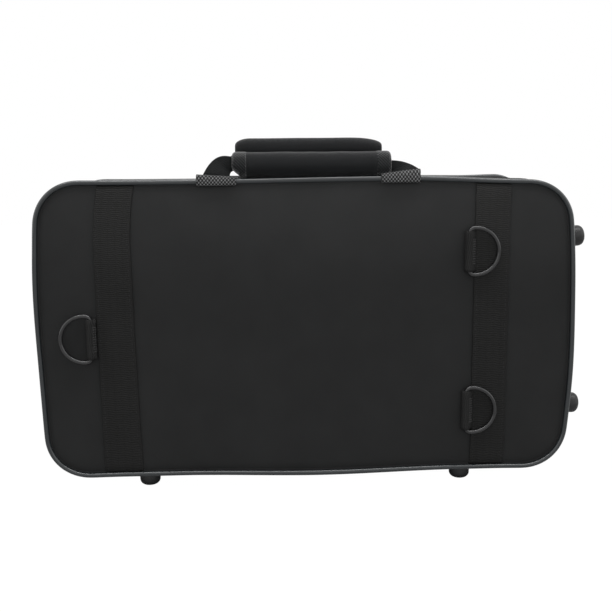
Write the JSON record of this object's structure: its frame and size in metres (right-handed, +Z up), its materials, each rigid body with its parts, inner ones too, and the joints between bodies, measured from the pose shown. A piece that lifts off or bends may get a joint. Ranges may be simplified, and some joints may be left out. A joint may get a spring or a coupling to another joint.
{
  "type": "clarinet case",
  "caption": "Soft zip-up instrument case with piped cloth shells, webbing bands, D-rings, rubber feet, two padded grips and a pocketed insert.",
  "frame": {"origin": "middle of the case's bounding box, at the level that its bottom feet stand on", "axes": "+X along the case towards the end that has feet, +Y through the depth from the back panel towards the lid, +Z up"},
  "size_m": [0.3712, 0.105, 0.2404],
  "materials": {
    "cover_cloth": "black oxford weave, matte",
    "piping": "black vinyl over cord, satin",
    "webbing": "black woven webbing, matte",
    "grip_cloth": "black cloth over foam, matte",
    "zip_tape": "black woven tape, matte",
    "zip_coil": "black nylon coil, satin",
    "black_hardware": "black enamel, semi-gloss",
    "foot_rubber": "moulded rubber, satin",
    "zinc_steel": "zinc plated",
    "board": "thin plywood, unfinished",
    "foam": "closed-cell foam, matte",
    "plush": "black plush, deep matte"
  },
  "bodies": {
    "back_shell": {"back_board": "board", "back_panel_pad": "foam", "back_side_pad": "foam", "back_panel_cloth": "cover_cloth", "back_gusset_cloth": "cover_cloth", "back_piping": "piping", "zip_tape_back": "zip_tape", "zip_coil_back": "zip_coil", "spine_leaf_back": "cover_cloth", "zip_end_stops": "zip_tape", "back_bottom_feet": "foot_rubber", "back_end_feet": "foot_rubber", "back_foot_screws": "zinc_steel", "back_foot_washers": "zinc_steel", "insert_floor": "foam", "insert_rails": "foam", "insert_long_dividers": "foam", "insert_cross_dividers": "foam", "insert_face_plush": "plush", "pocket_liners": "plush", "band_left": "webbing", "band_right": "webbing", "ring_tab_left": "webbing", "ring_tab_right_upper": "webbing", "ring_tab_right_lower": "webbing", "back_handle_patches": "webbing"},
    "lid": {"lid_board": "board", "lid_panel_pad": "foam", "lid_side_pad": "foam", "lid_panel_cloth": "cover_cloth", "lid_gusset_cloth": "cover_cloth", "lid_piping": "piping", "zip_tape_lid": "zip_tape", "zip_coil_lid": "zip_coil", "spine_leaf_lid": "cover_cloth", "lid_bottom_feet": "foot_rubber", "lid_end_feet": "foot_rubber", "lid_foot_screws": "zinc_steel", "lid_foot_washers": "zinc_steel", "lid_lining": "plush", "lid_handle_patches": "webbing"},
    "back_handle": {"back_handle_webbing": "webbing", "back_grip_core": "foam", "back_grip_sleeve": "grip_cloth", "back_grip_hems": "grip_cloth"},
    "lid_handle": {"lid_handle_webbing": "webbing", "lid_grip_core": "foam", "lid_grip_sleeve": "grip_cloth", "lid_grip_hems": "grip_cloth"},
    "ring_left": {"d_ring_left": "black_hardware"},
    "ring_right_upper": {"d_ring_right_upper": "black_hardware"},
    "ring_right_lower": {"d_ring_right_lower": "black_hardware"},
    "slider_left": {"zip_slider_left": "black_hardware"},
    "slider_right": {"zip_slider_right": "black_hardware"},
    "pull_left": {"zip_pull_left": "black_hardware"},
    "pull_right": {"zip_pull_right": "black_hardware"}
  },
  "joints": [
    {"name": "lid_hinge", "type": "hinge", "parent": "back_shell", "child": "lid", "pos_m": [-0.00442, 0.00555, 0.0125], "axis": [-1, 0, 0], "range_deg": [0, 120]},
    {"name": "back_handle_swing", "type": "hinge", "parent": "back_shell", "child": "back_handle", "pos_m": [-0.00442, -0.0447, 0.20845], "axis": [1, 0, 0], "range_deg": [-8, 150]},
    {"name": "lid_handle_swing", "type": "hinge", "parent": "lid", "child": "lid_handle", "pos_m": [-0.00442, 0.0478, 0.20845], "axis": [-1, 0, 0], "range_deg": [-20, 130]},
    {"name": "d_ring_left_swing", "type": "hinge", "parent": "back_shell", "child": "ring_left", "pos_m": [-0.14762, -0.0493, 0.1071], "axis": [0, 0, 1], "range_deg": [0, 175]},
    {"name": "d_ring_right_upper_swing", "type": "hinge", "parent": "back_shell", "child": "ring_right_upper", "pos_m": [0.10258, -0.0493, 0.1623], "axis": [0, 0, -1], "range_deg": [0, 175]},
    {"name": "d_ring_right_lower_swing", "type": "hinge", "parent": "back_shell", "child": "ring_right_lower", "pos_m": [0.10258, -0.0493, 0.054], "axis": [0, 0, -1], "range_deg": [0, 175]},
    {"name": "zip_slider_left_slide", "type": "slide", "parent": "back_shell", "child": "slider_left", "axis": [-1, 0, 0], "range_m": [0, 0.11]},
    {"name": "zip_slider_right_slide", "type": "slide", "parent": "back_shell", "child": "slider_right", "axis": [1, 0, 0], "range_m": [0, 0.11]},
    {"name": "zip_pull_left_flip", "type": "hinge", "parent": "slider_left", "child": "pull_left", "pos_m": [-0.01142, 0.00555, 0.2123], "axis": [0, 1, 0], "range_deg": [0, 90]},
    {"name": "zip_pull_right_flip", "type": "hinge", "parent": "slider_right", "child": "pull_right", "pos_m": [0.00258, 0.00555, 0.2123], "axis": [0, -1, 0], "range_deg": [0, 90]}
  ]
}
